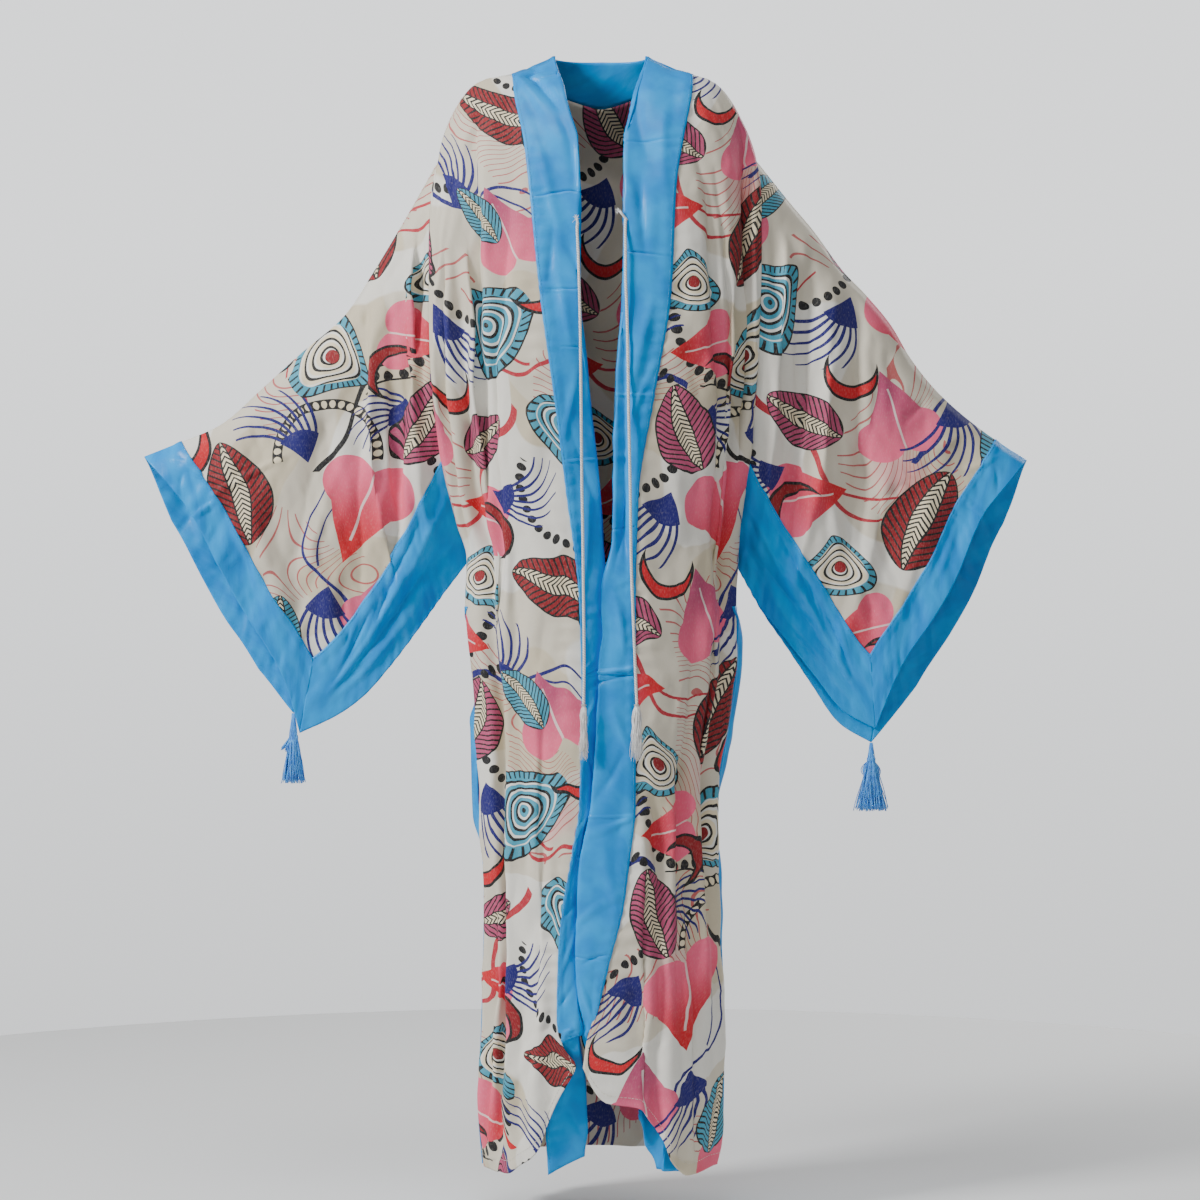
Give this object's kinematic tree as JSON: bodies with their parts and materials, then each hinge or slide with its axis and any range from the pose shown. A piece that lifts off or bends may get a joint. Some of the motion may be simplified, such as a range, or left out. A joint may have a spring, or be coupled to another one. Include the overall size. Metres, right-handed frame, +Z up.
{
  "type": "long kimono robe",
  "caption": "Open-front ankle-length kimono robe in worn form, printed cloth with plain contrast bands, wide open sleeves with tassels, side slits and hanging tie cords.",
  "frame": {"origin": "between the shoulders at neck height, where the wearer's shoulders carry the robe", "axes": "+Z up along the body, +Y towards the back, +X towards the wearer's left sleeve"},
  "size_m": [1.0418, 0.2406, 1.3092],
  "materials": {
    "printed_cloth": "soft printed cloth, cream ground",
    "plain_band": "plain blue satin-faced cloth",
    "tie_cord": "white twisted cord, fluffy ends",
    "sleeve_tassel": "blue twisted thread"
  },
  "bodies": {
    "root": {"back_panel": "printed_cloth", "front_right": "printed_cloth", "front_left": "printed_cloth", "front_band_right": "plain_band", "front_band_left": "plain_band", "neck_band": "plain_band", "slit_band_right_front": "plain_band", "slit_band_right_back": "plain_band", "slit_band_left_front": "plain_band", "slit_band_left_back": "plain_band", "sleeve_right_front": "printed_cloth", "sleeve_right_back": "printed_cloth", "sleeve_left_front": "printed_cloth", "sleeve_left_back": "printed_cloth", "cuff_band_right_front": "plain_band", "cuff_band_right_back": "plain_band", "cuff_band_left_front": "plain_band", "cuff_band_left_back": "plain_band", "sleeve_band_right_front": "plain_band", "sleeve_band_right_back": "plain_band", "sleeve_band_left_front": "plain_band", "sleeve_band_left_back": "plain_band", "tie_cord_right": "tie_cord", "tie_cord_left": "tie_cord", "tie_tassel_right": "tie_cord", "tie_tassel_left": "tie_cord", "sleeve_tassel_right": "sleeve_tassel", "sleeve_tassel_left": "sleeve_tassel"}
  },
  "joints": []
}
